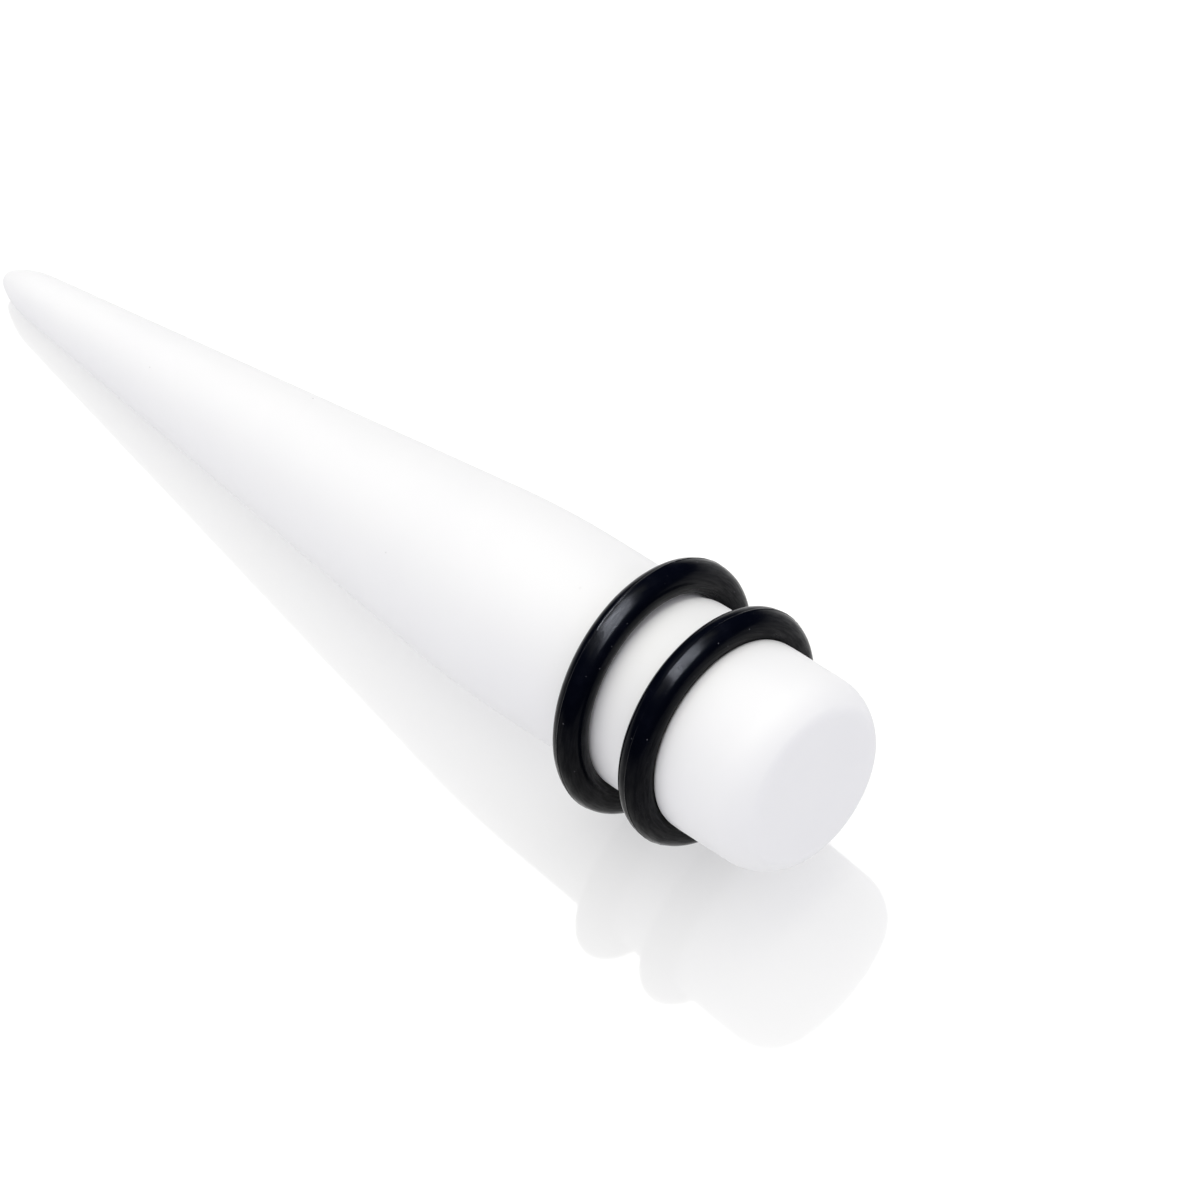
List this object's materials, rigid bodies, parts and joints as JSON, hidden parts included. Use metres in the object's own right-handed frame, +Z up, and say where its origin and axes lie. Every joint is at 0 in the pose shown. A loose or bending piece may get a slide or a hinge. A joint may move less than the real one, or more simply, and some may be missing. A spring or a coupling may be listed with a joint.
{
  "type": "ear stretching taper",
  "caption": "White acrylic ear stretching taper: a long cone with a small rounded nose that eases into a straight shaft, with black rubber O-rings near its rounded flat end.",
  "frame": {"origin": "on the surface that the taper lies on, under the middle of its bounding box", "axes": "+X runs from the nose to the flat end over the surface, +Z is up, and the taper's own axis lies in the XZ plane, rising by 7 degrees towards the flat end"},
  "size_m": [0.0564, 0.013, 0.0132],
  "materials": {
    "acrylic": "satin white, tumble-polished",
    "rubber": "semi-gloss black, with a fine mould parting line"
  },
  "bodies": {
    "root": {"taper_body": "acrylic", "front_o_ring": "rubber", "rear_o_ring": "rubber"}
  },
  "joints": []
}
